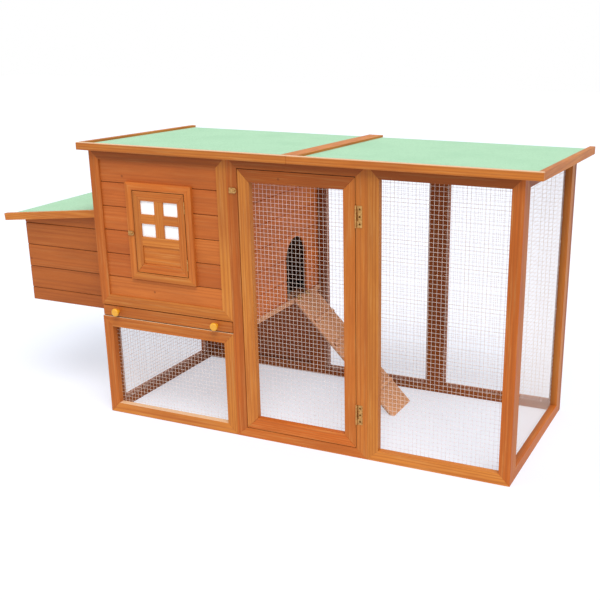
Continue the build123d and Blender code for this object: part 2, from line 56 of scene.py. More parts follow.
# degrees about +Y: the ramp falls to the right, the nest's lid to the left
slope = {"ramp": 41.42, "lid": -6}
print("frame loaded,", len(cadNodes), "nodes")


# colours and shader nodes

def linearColour(hexText):
    shares = [int(hexText[i:i + 2], 16) / 255 for i in (1, 3, 5)]
    return tuple(s / 12.92 if s <= 0.04045 else ((s + 0.055) / 1.055) ** 2.4 for s in shares) + (1,)


def addNode(tree, kind, values=None, links=None, **settings):
    node = tree.nodes.new(kind)
    for key, value in settings.items():
        setattr(node, key, value)
    for socket, value in (values or {}).items():
        node.inputs[socket].default_value = value
    for socket, source in (links or {}).items():
        tree.links.new(source, node.inputs[socket])
    return node


def feed(tree, socket, value):
    # an output is linked, a hex colour is linearised, anything else is set as it is
    if hasattr(value, "is_linked"):
        tree.links.new(value, socket)
    else:
        socket.default_value = linearColour(value) if isinstance(value, str) else value


def startMaterial(name, **shaderValues):
    material = bpy.data.materials.new(name)
    material.use_nodes = True
    tree = material.node_tree
    shader = tree.nodes["Principled BSDF"]
    for socket, value in shaderValues.items():
        feed(tree, shader.inputs[socket.replace("_", " ")], value)
    return material, tree, shader


def mixColour(tree, factor, first, second):
    node = addNode(tree, "ShaderNodeMix", data_type="RGBA")
    for index, value in ((0, factor), (6, first), (7, second)):
        feed(tree, node.inputs[index], value)
    return node.outputs[2]


def mapValue(tree, source, low, high, outLow=0.0, outHigh=1.0):
    limits = {1: low, 2: high, 3: outLow, 4: outHigh}
    return addNode(tree, "ShaderNodeMapRange", limits, {0: source}).outputs[0]


def mathValue(tree, operation, first, second=0.0):
    node = addNode(tree, "ShaderNodeMath", operation=operation)
    feed(tree, node.inputs[0], first)
    feed(tree, node.inputs[1], second)
    return node.outputs[0]


def attributeValue(tree, name, output="Fac"):
    return addNode(tree, "ShaderNodeAttribute", attribute_name=name).outputs[output]


def objectPlace(tree):
    return addNode(tree, "ShaderNodeTexCoord").outputs["Object"]


def noiseValue(tree, place, sizeMm, detail, roughness=0.5):
    values = {"Scale": 1 / (sizeMm * mm), "Detail": detail, "Roughness": roughness}
    return addNode(tree, "ShaderNodeTexNoise", values, {"Vector": place}).outputs["Fac"]


def cellValues(tree, place, sizeMm, dimensions="3D"):
    # a random shade for each cell, and the distance from its middle
    cells = addNode(tree, "ShaderNodeTexVoronoi", {"Scale": 1 / (sizeMm * mm)}, {"Vector": place},
                    voronoi_dimensions=dimensions).outputs
    shade = addNode(tree, "ShaderNodeSeparateColor", None, {0: cells["Color"]}).outputs[0]
    return shade, cells["Distance"]


def addBump(tree, shader, height, strength, deepMm):
    values = {"Strength": strength, "Distance": deepMm * mm}
    bump = addNode(tree, "ShaderNodeBump", values, {"Height": height})
    tree.links.new(bump.outputs[0], shader.inputs["Normal"])


def layColours(tree, colour, look, patterns, layers):
    # lays colours one over the other; a layer is (pattern, where it sets in, where it is full, share, colour)
    for pattern, start, full, share, shade in layers:
        factor = mapValue(tree, patterns[pattern], start, full, 0.0, look[share])
        colour = mixColour(tree, factor, colour, look[shade])
    return colour


# stained softwood: wide golden early bands, narrow darker late bands, streaks of sapwood and a few knots

woodFigure = {
    "streakAlong": 0.04, "blotchAlong": 0.2,  # how drawn out patterns are along the board, 1 for not at all
    "waveRate": 20,  # radians that the wave texture turns in one unit at a scale of 1
    "ringDetail": {"Detail": 2.5, "Detail Scale": 0.1, "Detail Roughness": 0.6},
    "fibreDetail": (3.0, 0.65), "streakDetail": (3.0, 0.6), "blotchDetail": (2.0, 0.5),
    # a cell of the knot pattern holds a knot where its random shade is over these limits
    "knotRare": (0.92, 0.94), "knotDepth": 0.6, "knotCore": 0.45,
    "fibreSpan": (0.2, 0.8), "roughLess": 0.08, "roughMore": 0.1, "bump": 0.35,
}
woodLayers = (
    ("rings", 0.45, 1.0, "ringDepth", "late"),
    ("blotch", 0.4, 0.7, "blotchShare", "deep"),
    ("streak", 0.52, 0.75, "sapShare", "sap"),
    ("streak", 0.45, 0.25, "streakShare", "late"),
    ("fibre", 0.3, 0.75, "fibreShare", "fibre"),
)


def drawnOut(tree, grain, share):
    return addNode(tree, "ShaderNodeVectorMath", {1: (share, 1, 1)}, {0: grain},
                   operation="MULTIPLY").outputs[0]


def woodMaterial(name, look):
    material, tree, shader = startMaterial(name, IOR=1.46, Specular_IOR_Level=look["gloss"])
    grain = attributeValue(tree, "grain", "Vector")
    along = drawnOut(tree, grain, woodFigure["streakAlong"])
    ringScale = 2 * math.pi / (woodFigure["waveRate"] * look["ringMm"] * mm)
    ringValues = dict(woodFigure["ringDetail"], Scale=ringScale, Distortion=look["ringWander"])
    rings = addNode(tree, "ShaderNodeTexWave", ringValues, {"Vector": along},
                    wave_type="RINGS", rings_direction="X").outputs["Fac"]
    broad = drawnOut(tree, grain, woodFigure["blotchAlong"])
    fibre = noiseValue(tree, along, look["fibreMm"], *woodFigure["fibreDetail"])
    streak = noiseValue(tree, along, look["streakMm"], *woodFigure["streakDetail"])
    blotch = noiseValue(tree, broad, look["blotchMm"], *woodFigure["blotchDetail"])
    patterns = {"rings": rings, "fibre": fibre, "streak": streak, "blotch": blotch}
    colour = mixColour(tree, attributeValue(tree, "warmth"), look["golden"], look["russet"])
    colour = layColours(tree, colour, look, patterns, woodLayers)
    knotShade, knotDistance = cellValues(tree, grain, look["knotGapMm"], "2D")
    knotSize = look["knotMm"] / look["knotGapMm"]
    present = mapValue(tree, knotShade, *woodFigure["knotRare"], 0.0, woodFigure["knotDepth"])
    disc = mapValue(tree, knotDistance, knotSize, knotSize * woodFigure["knotCore"])
    colour = mixColour(tree, mathValue(tree, "MULTIPLY", disc, present), colour, look["knot"])
    # tone: each board's stain shade times the painted shade and light of its corners
    colour = addNode(tree, "ShaderNodeHueSaturation", None,
                     {"Value": attributeValue(tree, "tone"), "Color": colour}).outputs[0]
    # painted highlight: the pale colour on top edges that catch the light
    colour = mixColour(tree, attributeValue(tree, "wear"), colour, look["bare"])
    rough = mapValue(tree, fibre, *woodFigure["fibreSpan"], look["rough"] - woodFigure["roughLess"],
                     look["rough"] + woodFigure["roughMore"])
    feed(tree, shader.inputs["Base Color"], colour)
    feed(tree, shader.inputs["Roughness"], rough)
    addBump(tree, shader, mathValue(tree, "ADD", rings, fibre), woodFigure["bump"], look["bumpMm"])
    return material


# planed fir battens, amber water-based stain: warm orange body, pale sapwood streaks
framesLook = {
    "golden": "#CB8033", "russet": "#C46520", "late": "#96491B", "deep": "#A65722", "sap": "#D39A58",
    # the last colour is the painted highlight on top edges that catch the light
    "fibre": "#8A441A", "knot": "#6F3717", "bare": "#F3DDBC",
    "ringMm": 5.0, "ringWander": 7.0, "ringDepth": 0.38, "fibreMm": 1.2, "fibreShare": 0.22,
    "streakMm": 7, "streakShare": 0.28, "sapShare": 0.45, "blotchMm": 60, "blotchShare": 0.5,
    "knotGapMm": 210, "knotMm": 6, "rough": 0.52, "gloss": 0.22, "bumpMm": 0.12,
}
# the same stain on thin tongue and groove boards, which show broader flat-sawn figure
boardsLook = dict(
    framesLook, golden="#C8712F", russet="#BC6227", late="#98491D", deep="#A05322", sap="#CB864A",
    ringMm=6.5, ringDepth=0.3, streakMm=10, streakShare=0.4, sapShare=0.3)
# sawn fir with one thin coat, which stays pale and dry
thinLook = dict(
    framesLook, golden="#E9AF84", russet="#DFA175", late="#BC825A", deep="#CE9166", sap="#EFC49A",
    fibre="#B57C55", streakShare=0.3, ringDepth=0.35, rough=0.66, gloss=0.18)
# unstained spruce plywood and rough battens: straw coloured, dry
plainLook = dict(
    framesLook, golden="#D0A26D", russet="#C4935F", late="#A97C4D", deep="#BC8D5A", sap="#DDBB8C",
    fibre="#A1764A", knot="#7E5733", ringMm=7.0, rough=0.68, gloss=0.2)


# brass plate, tumbled and clear lacquered: warm metal with soft handling marks
brassLook = {"main": "#CF9F60", "dull": "#A27642", "markMm": 6, "markDetail": 4.0, "dulled": (0.35, 0.7),
             "rough": 0.32, "roughMore": 0.18, "roughSpan": (0.3, 0.75), "bump": 0.15, "bumpMm": 0.05}


def brassMaterial(name, look):
    material, tree, shader = startMaterial(name, Metallic=1.0)
    marks = noiseValue(tree, objectPlace(tree), look["markMm"], look["markDetail"])
    colour = mixColour(tree, mapValue(tree, marks, *look["dulled"]), look["main"], look["dull"])
    rough = mapValue(tree, marks, *look["roughSpan"], look["rough"], look["rough"] + look["roughMore"])
    feed(tree, shader.inputs["Base Color"], colour)
    feed(tree, shader.inputs["Roughness"], rough)
    addBump(tree, shader, marks, look["bump"], look["bumpMm"])
    return material


# hot-dip galvanising: pale grey zinc with crystal patches, and less metallic where it has weathered
zincLook = {"light": "#EEDFD6", "dark": "#D9CAC0", "crystalMm": 3, "bare": 0.1,
            "rough": 0.5, "roughMore": 0.15}


def zincMaterial(name, look):
    material, tree, shader = startMaterial(name, Metallic=look["bare"])
    shade = cellValues(tree, objectPlace(tree), look["crystalMm"])[0]
    rough = mapValue(tree, shade, 0.0, 1.0, look["rough"], look["rough"] + look["roughMore"])
    feed(tree, shader.inputs["Base Color"], mixColour(tree, shade, look["light"], look["dark"]))
    feed(tree, shader.inputs["Roughness"], rough)
    return material


# mineral-faced roofing felt: slate granules pressed into bitumen, tinted pale green
feltLook = {
    "main": "#A3CFAE", "pale": "#BBDFC2", "dark": "#7BA88A", "worn": "#97C4A4",
    "gritMm": 2.2,  # real granules are about 1 mm; they are drawn larger so that they show
    "wearMm": 120, "wearDetail": 3.0, "paleShare": 0.8, "darkShare": 0.6, "wornShare": 0.35,
    "gloss": 0.2, "rough": (0.78, 0.95), "bump": 0.4, "bumpMm": 0.4,
}
feltLayers = (
    ("grit", 0.1, 0.95, "paleShare", "pale"),
    ("grit", 0.82, 0.98, "darkShare", "dark"),
    ("wear", 0.45, 0.75, "wornShare", "worn"),
)


def feltMaterial(name, look):
    material, tree, shader = startMaterial(name, Specular_IOR_Level=look["gloss"])
    place = objectPlace(tree)
    grit, distance = cellValues(tree, place, look["gritMm"])
    patterns = {"grit": grit, "wear": noiseValue(tree, place, look["wearMm"], look["wearDetail"])}
    feed(tree, shader.inputs["Base Color"], layColours(tree, look["main"], look, patterns, feltLayers))
    feed(tree, shader.inputs["Roughness"], mapValue(tree, grit, 0.0, 1.0, *look["rough"]))
    addBump(tree, shader, distance, look["bump"], look["bumpMm"])
    return material


# turned beech under yellow gloss lacquer: smooth, a little orange peel
lacquerLook = {"main": "#E3A21C", "deep": "#D3900F", "deepShare": 0.5,
               "peelMm": 4, "peelDetail": 2.0, "peelSpan": (0.35, 0.7),
               "rough": 0.38, "coat": 0.2, "coatRough": 0.2, "bump": 0.1, "bumpMm": 0.1}


def lacquerMaterial(name, look):
    material, tree, shader = startMaterial(
        name, Roughness=look["rough"], Coat_Weight=look["coat"], Coat_Roughness=look["coatRough"], IOR=1.5)
    peel = noiseValue(tree, objectPlace(tree), look["peelMm"], look["peelDetail"])
    deeper = mapValue(tree, peel, *look["peelSpan"], 0.0, look["deepShare"])
    feed(tree, shader.inputs["Base Color"], mixColour(tree, deeper, look["main"], look["deep"]))
    addBump(tree, shader, peel, look["bump"], look["bumpMm"])
    return material


# cast acrylic, opal white: soft gloss, faintly cloudy
opalLook = {"main": "#FDFDFC", "cloud": "#F6F6F4", "cloudMm": 40, "cloudDetail": 2.0, "cloudSpan": (0.3, 0.7),
            "rough": 0.28}


def opalMaterial(name, look):
    material, tree, shader = startMaterial(name, Roughness=look["rough"], IOR=1.49)
    cloud = noiseValue(tree, objectPlace(tree), look["cloudMm"], look["cloudDetail"])
    clouded = mapValue(tree, cloud, *look["cloudSpan"])
    feed(tree, shader.inputs["Base Color"], mixColour(tree, clouded, look["main"], look["cloud"]))
    return material


materials = {
    "stained_fir": woodMaterial("planedFirAmberStain", framesLook),
    "stained_boards": woodMaterial("matchboardFirAmberStain", boardsLook),
    "plain_deck": woodMaterial("sprucePlywoodUnstained", plainLook),
    "thin_stain": woodMaterial("sawnFirThinStain", thinLook),
    "galvanised_mesh": zincMaterial("weldedWireGalvanised", zincLook),
    "galvanised_tray": zincMaterial("foldedSheetGalvanised", dict(
        zincLook, light="#C4C8C9", dark="#9DA3A5", crystalMm=9, bare=1.0, rough=0.3)),
    "brass_hinges": brassMaterial("pressedBrassPlated", brassLook),
    # screw heads drawn in dark brass as painted shade in their countersinks
    "screw_heads": brassMaterial("tarnishedBrassScrew", dict(
        brassLook, main="#7A5226", dull="#553717", markMm=3, rough=0.45)),
    "brass_buttons": brassMaterial("stampedBrassPlated", dict(
        brassLook, main="#C99B5E", dull="#966A3C", markMm=5, rough=0.34)),
    "mint_felt": feltMaterial("mineralFeltMint", feltLook),
    "yellow_knobs": lacquerMaterial("turnedBeechYellowLacquer", lacquerLook),
    "opal_pane": opalMaterial("castAcrylicOpal", opalLook),
}
for node, thing in cadNodes.items():
    thing.data.materials.clear()
    thing.data.materials.append(materials[slotOf[node]])
print("materials made,", len(materials))


# the stain on each board, with painted light and shade: its shade and warmth, and the run of its grain

# (brightness, russet share) for the pieces that differ from the rest: the back frames and boards, the left
# side frame and the nest's front and end boards are darkened as painted shade, the partition boards and the
# ramp are brightened as painted light, and the tray front, the window's lower panel, the fascias and the
# strips are drawn in their own shade and warmth
stainAndPaintedLight = {
    "back_middle_frame": (0.94, 1.0), "back_right_frame": (0.94, 1.0), "back_house_frame": (0.94, 0.9),
    "back_house_boards": (0.92, 0.9), "left_side_frame": (0.94, 0.7), "partition_boards": (1.36, 0.5),
    "window_lower_panel": (1.12, 0.4), "tray_front": (0.9, 0.6),
    "roof_fascias": (0.9, 0.25), "roof_end_strips": (0.98, 0.2), "roof_joint_strip": (1.0, 0.3),
    "nest_front_boards": (0.75, 0.5), "nest_end_boards": (0.82, 0.5), "nest_lid_strips": (0.98, 0.2),
    "ramp_plank": (1.14, 0.2), "ramp_cleats": (1.14, 0.2),
}
# how much one board strays from the next, in shade and in warmth
boardSpread = {"shade": 0.07, "warmth": 0.2}
# where in its log each board was cut, in metres: along the grain, across it, and from the pith
logCut = {"along": (0, 40), "across": (-0.05, 0.05), "pith": (0.03, 0.09)}
# painted light and shade: how much darker or lighter each of these places is drawn than the rest of a piece;
# the sill's rails are painted lighter, all the others darker as painted shade
paintedLightAndShade = {
    "eaves": 0.6, "stileTop": 0.86, "sill": 1.07, "inside": 0.6, "gap": 0.2,
    "jointLower": 0.25, "jointUpper": 0.7, "cleatFoot": 0.12, "plankUnder": 0.45,
}
# warmth of the painted shade under the eaves and of the painted light on the sill's rails
paintedLightWarmth = {"eaves": 1.0, "sill": 0.1}
# in metres: a frame's rail above the first is under the eaves, and one that ends below the second is a sill
placeHeight = {"eaves": 0.86, "sill": 0.08}
# frames and boards whose inner face is darkened as painted shade: (axis, side of it)
shadedInnerFace = {
    "back_middle_frame": (1, -1), "back_right_frame": (1, -1), "back_house_frame": (1, -1),
    "back_house_boards": (1, -1), "left_side_frame": (0, 1), "right_end_frame": (0, -1),
    "left_side_boards": (0, 1), "house_front_boards": (1, 1),
}
thinStained = ("ramp_plank", "ramp_cleats", "floor_supports")  # one thin coat in place of the full stain
gapShaded = ("run_door_frame", "window_leaf_frame", "tray_front")  # their outer edges are darkened as painted shade in the gaps round them
rimMm = 0.3  # a corner nearer than this to the outline is on the outer edge
jointMm = 1.0  # a corner deeper than this under a board's face is in its joint
litTopEdgeMm = {"roof_fascias": 1.2, "lower_front_frame": 0.4}  # top edges painted pale as a highlight where their top faces catch the light: how far down
# how much of the pale highlight colour those top edges get
wornShare = 0.55


def groupMiddle(group):
    return tuple(round(sum(vert.co[i] for vert in group) / len(group), 4) for i in range(3))


def connectedGroups(mesh):
    left = set(mesh.verts)
    groups = []
    while left:
        group = [left.pop()]
        for vert in group:  # the list grows while it is walked
            for edge in vert.link_edges:
                other = edge.other_vert(vert)
                if other in left:
                    left.discard(other)
                    group.append(other)
        groups.append(group)
    return sorted(groups, key=groupMiddle)


def onRim(node, spot):
    # whether a corner lies on the outer edge of the piece, seen from the front
    low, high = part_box(node)
    return any(min(spot[axis] - low[axis], high[axis] - spot[axis]) < rimMm * mm for axis in (0, 2))


def cornerShade(node, place, spot, middle, thick, upright):
    # painted shade: joints (most on their lower edges), the gaps round the leaves and tray front, cleat feet,
    # the plank's underside and inner faces are darkened, and posts darken to their tops
    if node in gapShaded and onRim(node, spot):
        return paintedLightAndShade["gap"]
    if node.startswith("ramp") and spot[2] < middle[2]:
        return paintedLightAndShade["cleatFoot" if node == "ramp_cleats" else "plankUnder"]
    share = 1.0
    if node in shadedInnerFace:
        axis, side = shadedInnerFace[node]
        share = paintedLightAndShade["inside"] if (spot[axis] - middle[axis]) * side > 0 else 1.0
    if node.endswith("boards") and node != "partition_boards" and abs(place[2]) < thick / 2 - jointMm * mm:
        return share * paintedLightAndShade["jointLower" if spot[2] < middle[2] else "jointUpper"]
    if node.endswith("frame") and upright and spot[2] > placeHeight["eaves"]:
        share *= paintedLightAndShade["stileTop"]
    return share


def boardStainAndLight(node, low, high, upright, dice):
    # one board's stain shade and warmth, with painted shade on rails under the eaves and painted light on the
    # sill's rails
    shade = 1 + dice.uniform(-boardSpread["shade"], boardSpread["shade"])
    warm = dice.random()
    if node in stainAndPaintedLight:
        depth, russet = stainAndPaintedLight[node]
        shade, warm = shade * depth, russet + boardSpread["warmth"] * (warm - 0.5)
    if node.endswith("frame") and low[2] > placeHeight["eaves"] and not upright:
        shade, warm = shade * paintedLightAndShade["eaves"], paintedLightWarmth["eaves"]
    if node.endswith("front_frame") and high[2] < placeHeight["sill"]:
        shade, warm = shade * paintedLightAndShade["sill"], paintedLightWarmth["sill"]
    return shade, warm


def writeGrain(mesh, node, seed, turn):
    dice = random.Random(seed)
    grain = mesh.verts.layers.float_vector.new("grain")
    tone = mesh.verts.layers.float.new("tone")
    warmth = mesh.verts.layers.float.new("warmth")
    wear = mesh.verts.layers.float.new("wear")
    for group in connectedGroups(mesh):
        spots = [turn @ vert.co for vert in group]
        low = [min(spot[i] for spot in spots) for i in range(3)]
        high = [max(spot[i] for spot in spots) for i in range(3)]
        middle = [(a + b) / 2 for a, b in zip(low, high)]
        order = sorted(range(3), key=lambda i: low[i] - high[i])  # longest, middle, shortest
        upright = order[0] == 2
        thick = high[order[2]] - low[order[2]]
        shift = (dice.uniform(*logCut["along"]), dice.uniform(*logCut["across"]),
                 dice.uniform(*logCut["pith"]) * dice.choice((-1, 1)))
        shade, warm = boardStainAndLight(node, low, high, upright, dice)
        # some pieces get the painted highlight along their top edges
        litTopReach = litTopEdgeMm.get(node, 0) * mm if order[0] == 0 else 0
        for vert, spot in zip(group, spots):
            place = [spot[axis] - middle[axis] for axis in order]
            vert[grain] = [a + b for a, b in zip(place, shift)]
            vert[tone] = shade * cornerShade(node, place, spot, middle, thick, upright)
            vert[warmth] = warm
            vert[wear] = wornShare if high[2] - spot[2] < litTopReach else 0.0


# dressing: a CAD node's solids with eased edges and their own finish

# angles in degrees: faces flatter than the first merge, and edges sharper than the others are eased
easing = {"weldMm": 0.01, "flat": 0.4, "timberSharp": 30, "metalSharp": 40, "segments": 2, "roundness": 0.6}
# angles in degrees above which an edge stays crisp in smooth shading
crisp = {"metal": 32, "wire": 70, "screw": 35, "knob": 50}


def pieceName(node):
    first, *rest = node.split("_")
    return first + "".join(word.capitalize() for word in rest)


def finishPiece(name, data, body, slotName, replaced=(), finish=None):
    # finish is a material that differs from the slot's own
    piece = bpy.data.objects.new(name, data)
    bpy.context.scene.collection.objects.link(piece)
    data.materials.clear()
    data.materials.append(materials[finish or slotName])
    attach(piece, body)
    if replaced:
        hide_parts(*replaced)


def meshData(mesh, name):
    data = bpy.data.meshes.new(name)
    mesh.to_mesh(data)
    mesh.free()
    return data


def shadeSmooth(data, crispAngle):
    data.shade_smooth()
    data.set_sharp_from_angle(angle=math.radians(crispAngle))


def mergedCopy(node):
    mesh = bmesh.new()
    mesh.from_mesh(cadNodes[node].data)
    bmesh.ops.remove_doubles(mesh, verts=mesh.verts, dist=easing["weldMm"] * mm)
    return mesh


def easeEdges(mesh, easeMm, sharpAngle):
    bmesh.ops.dissolve_limit(mesh, angle_limit=math.radians(easing["flat"]),
                             verts=mesh.verts, edges=mesh.edges)
    sharp = [edge for edge in mesh.edges
             if len(edge.link_faces) == 2 and edge.calc_face_angle(0) > math.radians(sharpAngle)]
    bmesh.ops.bevel(mesh, geom=sharp, offset=easeMm * mm, offset_type="OFFSET", segments=easing["segments"],
                    profile=easing["roundness"], affect="EDGES", clamp_overlap=True)


def dressTimber(node, easeMm, seed, turn):
    mesh = mergedCopy(node)
    easeEdges(mesh, easeMm, easing["timberSharp"])
    writeGrain(mesh, node, seed, turn)
    name = pieceName(node)
    finish = "thin_stain" if node in thinStained else None
    finishPiece(name, meshData(mesh, name), bodyOf[node], slotOf[node], [node], finish)


def dressMetal(node, easeMm):
    mesh = mergedCopy(node)
    if easeMm:
        easeEdges(mesh, easeMm, easing["metalSharp"])
    name = pieceName(node.replace("moving_", ""))
    data = meshData(mesh, name)
    shadeSmooth(data, crisp["metal"])
    finishPiece(name, data, bodyOf[node], slotOf[node], [node])


# timber and felt: how far each piece's edges are eased, in mm; the order sets each piece's seed
timberEase = {
    "house_front_frame": 1.0, "house_front_boards": 0.4, "window_trim": 0.8, "window_leaf_frame": 1.3,
    "window_cross": 0.8, "window_lower_panel": 0.5, "lower_front_frame": 1.0, "left_side_frame": 1.0,
    "left_side_boards": 0.4, "back_house_frame": 1.0, "back_house_boards": 0.4, "back_middle_frame": 1.0,
    "back_right_frame": 1.0, "right_end_frame": 1.0, "partition_boards": 0.4, "partition_battens": 0.8,
    "house_floor": 0.4, "floor_supports": 0.8, "door_bay_frame": 1.0, "run_door_frame": 1.5,
    "run_front_frame": 1.0, "tray_front": 1.8, "ramp_plank": 0.6, "ramp_cleats": 0.8, "roof_deck_left": 0.5,
    "roof_deck_right": 0.5, "roof_fascias": 2.4, "roof_end_strips": 1.0, "roof_joint_strip": 0.8,
    "roof_rafter": 0.8, "nest_front_boards": 0.4, "nest_back_boards": 0.4, "nest_end_boards": 0.4,
    "nest_posts": 0.8, "nest_floor": 0.4, "nest_hinge_rail": 0.8, "nest_lid_deck": 0.5,
    "nest_lid_strips": 1.0, "roof_felt_left": 0.4, "roof_felt_right": 0.4, "nest_lid_felt": 0.4,
}
firstSeed = 11
levelTurn = Matrix.Identity(3)
rampTurn = Matrix.Rotation(math.radians(-slope["ramp"]), 3, "Y")  # lays the ramp level
for count, (node, easeMm) in enumerate(timberEase.items()):
    dressTimber(node, easeMm, firstSeed + count, rampTurn if node.startswith("ramp") else levelTurn)
print("timber and felt dressed,", len(timberEase))

# metalwork and the pane: edge easing in mm, 0 where the CAD's own edges stay
metalEase = {
    "hinge_fixed_leaves": 0, "hinge_pins": 0, "door_hinge_moving_leaves": 0, "window_hinge_moving_leaves": 0,
    "lid_hinge_moving_leaves": 0, "ramp_hinge_moving_leaves": 0, "door_turn_button": 0.3,
    "window_turn_button": 0.3, "button_screws": 0.2, "tray_pan": 0.2, "window_pane": 0.3,
}
for node, easeMm in metalEase.items():
    dressMetal(node, easeMm)
print("metalwork dressed,", len(metalEase))


# welded mesh sheets

# secondLayer is how far in the level wires' middle lies, in wire diameters: under 1.5, so that they weld
meshSheet = {"pitchMm": 15.0, "wireMm": 0.9, "sides": 6, "secondLayer": 1.3}


def geometryGroup(name, sockets):
    group = bpy.data.node_groups.new(name, "GeometryNodeTree")
    for way in ("INPUT", "OUTPUT"):
        group.interface.new_socket("Geometry", in_out=way, socket_type="NodeSocketGeometry")
    for label, kind in sockets.items():
        group.interface.new_socket(label, in_out="INPUT", socket_type="NodeSocket" + kind)
    return group, addNode(group, "NodeGroupInput").outputs, addNode(group, "NodeGroupOutput")


def joinXyz(group, x=0.0, y=0.0, z=0.0):
    node = addNode(group, "ShaderNodeCombineXYZ")
    for socket, value in zip(node.inputs, (x, y, z)):
        feed(group, socket, value)
    return node.outputs[0]


def endGroup(group, geometry, material, output):
    real = addNode(group, "GeometryNodeRealizeInstances", None, {0: geometry}).outputs[0]
    dressed = addNode(group, "GeometryNodeSetMaterial", None, {"Geometry": real, "Material": material})
    group.links.new(dressed.outputs[0], output.inputs[0])


def wireRow(group, count, first, step, wireEnd, profile):
    line = addNode(group, "GeometryNodeMeshLine", None,
                   {"Count": count, "Start Location": first, "Offset": step})
    wire = addNode(group, "GeometryNodeCurvePrimitiveLine", None, {"End": wireEnd})
    tube = addNode(group, "GeometryNodeCurveToMesh", {"Fill Caps": True},
                   {"Curve": wire.outputs[0], "Profile Curve": profile})
    return addNode(group, "GeometryNodeInstanceOnPoints", None,
                   {"Points": line.outputs[0], "Instance": tube.outputs[0]}).outputs[0]


def weldedMeshGroup():
    group, inputs, output = geometryGroup("weldedMeshSheet", {
        "Width": "Float", "Height": "Float", "Pitch": "Float", "Wire": "Float", "Sides": "Int",
        "Material": "Material"})
    width, height, pitch, wire = [inputs[name] for name in ("Width", "Height", "Pitch", "Wire")]
    half = mathValue(group, "MULTIPLY", wire, 0.5)
    deep = mathValue(group, "MULTIPLY", wire, meshSheet["secondLayer"])
    profile = addNode(group, "GeometryNodeCurvePrimitiveCircle", None,
                      {"Resolution": inputs["Sides"], "Radius": half}).outputs[0]
    both = addNode(group, "GeometryNodeJoinGeometry")
    for side in (width, height):  # upright wires across the width, then level ones up the height
        room = mathValue(group, "DIVIDE", mathValue(group, "SUBTRACT", side, wire), pitch)
        steps = mathValue(group, "FLOOR", room)
        spare = mathValue(group, "SUBTRACT", side, mathValue(group, "MULTIPLY", steps, pitch))
        start = mathValue(group, "MULTIPLY", spare, 0.5)
        count = mathValue(group, "ADD", steps, 1.0)
        if side == width:
            first, step, end = (start, half), (pitch,), (0.0, 0.0, height)
        else:
            first, step, end = (0.0, deep, start), (0.0, 0.0, pitch), (width,)
        first, step, end = [joinXyz(group, *spot) for spot in (first, step, end)]
        group.links.new(wireRow(group, count, first, step, end, profile), both.inputs[0])
    endGroup(group, both.outputs[0], inputs["Material"], output)
    return group


def runGroup(name, group, values, data=None):
    holder = bpy.data.objects.new(name + "Source", data or bpy.data.meshes.new(name + "Source"))
    bpy.context.scene.collection.objects.link(holder)
    modifier = holder.modifiers.new(name, "NODES")
    modifier.node_group = group
    sockets = {item.name: item.identifier for item in group.interface.items_tree
               if item.item_type == "SOCKET" and item.in_out == "INPUT"}
    for label, value in values.items():
        modifier[sockets[label]] = value
    graph = bpy.context.evaluated_depsgraph_get()
    result = bpy.data.meshes.new_from_object(holder.evaluated_get(graph), depsgraph=graph)
    holder.modifiers.clear()
    bpy.data.objects.remove(holder)
    return result


# a sheet's frame: where its first corner is, and which way it runs and faces
facings = {
    "front": lambda low, high: (Vector((low.x, low.y, low.z)), Vector((1, 0, 0)), Vector((0, 1, 0))),
    "back": lambda low, high: (Vector((high.x, high.y, low.z)), Vector((-1, 0, 0)), Vector((0, -1, 0))),
    "left": lambda low, high: (Vector((low.x, high.y, low.z)), Vector((0, -1, 0)), Vector((1, 0, 0))),
    "right": lambda low, high: (Vector((high.x, low.y, low.z)), Vector((0, 1, 0)), Vector((-1, 0, 0))),
}
sheets = {
    "lower_front_mesh": "front", "run_door_mesh": "front", "run_front_mesh": "front",
    "left_lower_mesh": "left", "back_middle_mesh": "back", "back_right_mesh": "back",
    "right_end_mesh": "right",
}


def sheetPlace(node):
    low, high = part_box(node)
    corner, across, inward = facings[sheets[node]](low, high)
    place = Matrix((across, inward, Vector((0, 0, 1)))).transposed().to_4x4()
    place.translation = corner
    return place, abs((high - low).dot(across)), high.z - low.z


meshTree = weldedMeshGroup()
for node in sheets:
    place, width, height = sheetPlace(node)
    data = runGroup(pieceName(node), meshTree, {
        "Width": width, "Height": height, "Pitch": meshSheet["pitchMm"] * mm,
        "Wire": meshSheet["wireMm"] * mm, "Sides": meshSheet["sides"],
        "Material": materials["galvanised_mesh"]})
    data.transform(place)
    shadeSmooth(data, crisp["wire"])
    finishPiece(pieceName(node), data, bodyOf[node], slotOf[node], [node])
print("mesh sheets woven,", len(sheets))


# repeated small pieces: one shape put at many places

def repeatGroup():
    group, inputs, output = geometryGroup("repeatedPiece", {
        "Shape": "Object", "Size": "Float", "Material": "Material"})
    shape = addNode(group, "GeometryNodeObjectInfo", {"As Instance": True}, {"Object": inputs["Shape"]})
    turn = addNode(group, "GeometryNodeInputNamedAttribute", {"Name": "turn"}, data_type="FLOAT_VECTOR")
    placed = addNode(group, "GeometryNodeInstanceOnPoints", None, {
        "Points": inputs["Geometry"], "Instance": shape.outputs["Geometry"], "Rotation": turn.outputs[0],
        "Scale": inputs["Size"]})
    endGroup(group, placed.outputs[0], inputs["Material"], output)
    return group


repeatTree = repeatGroup()


def repeatShape(name, shape, places, slotName, body, size=1.0, replaced=(), finish=None):
    points = bpy.data.meshes.new(name + "Points")
    points.from_pydata([tuple(place.translation) for place in places], [], [])
    turns = points.attributes.new("turn", "FLOAT_VECTOR", "POINT")
    for index, place in enumerate(places):
        turns.data[index].vector = place.to_euler()
    holder = bpy.data.objects.new(name + "Shape", shape)
    bpy.context.scene.collection.objects.link(holder)
    values = {"Shape": holder, "Size": size, "Material": materials[slotName]}
    data = runGroup(name, repeatTree, values, points)
    bpy.data.objects.remove(holder)
    finishPiece(name, data, body, slotName, replaced, finish)


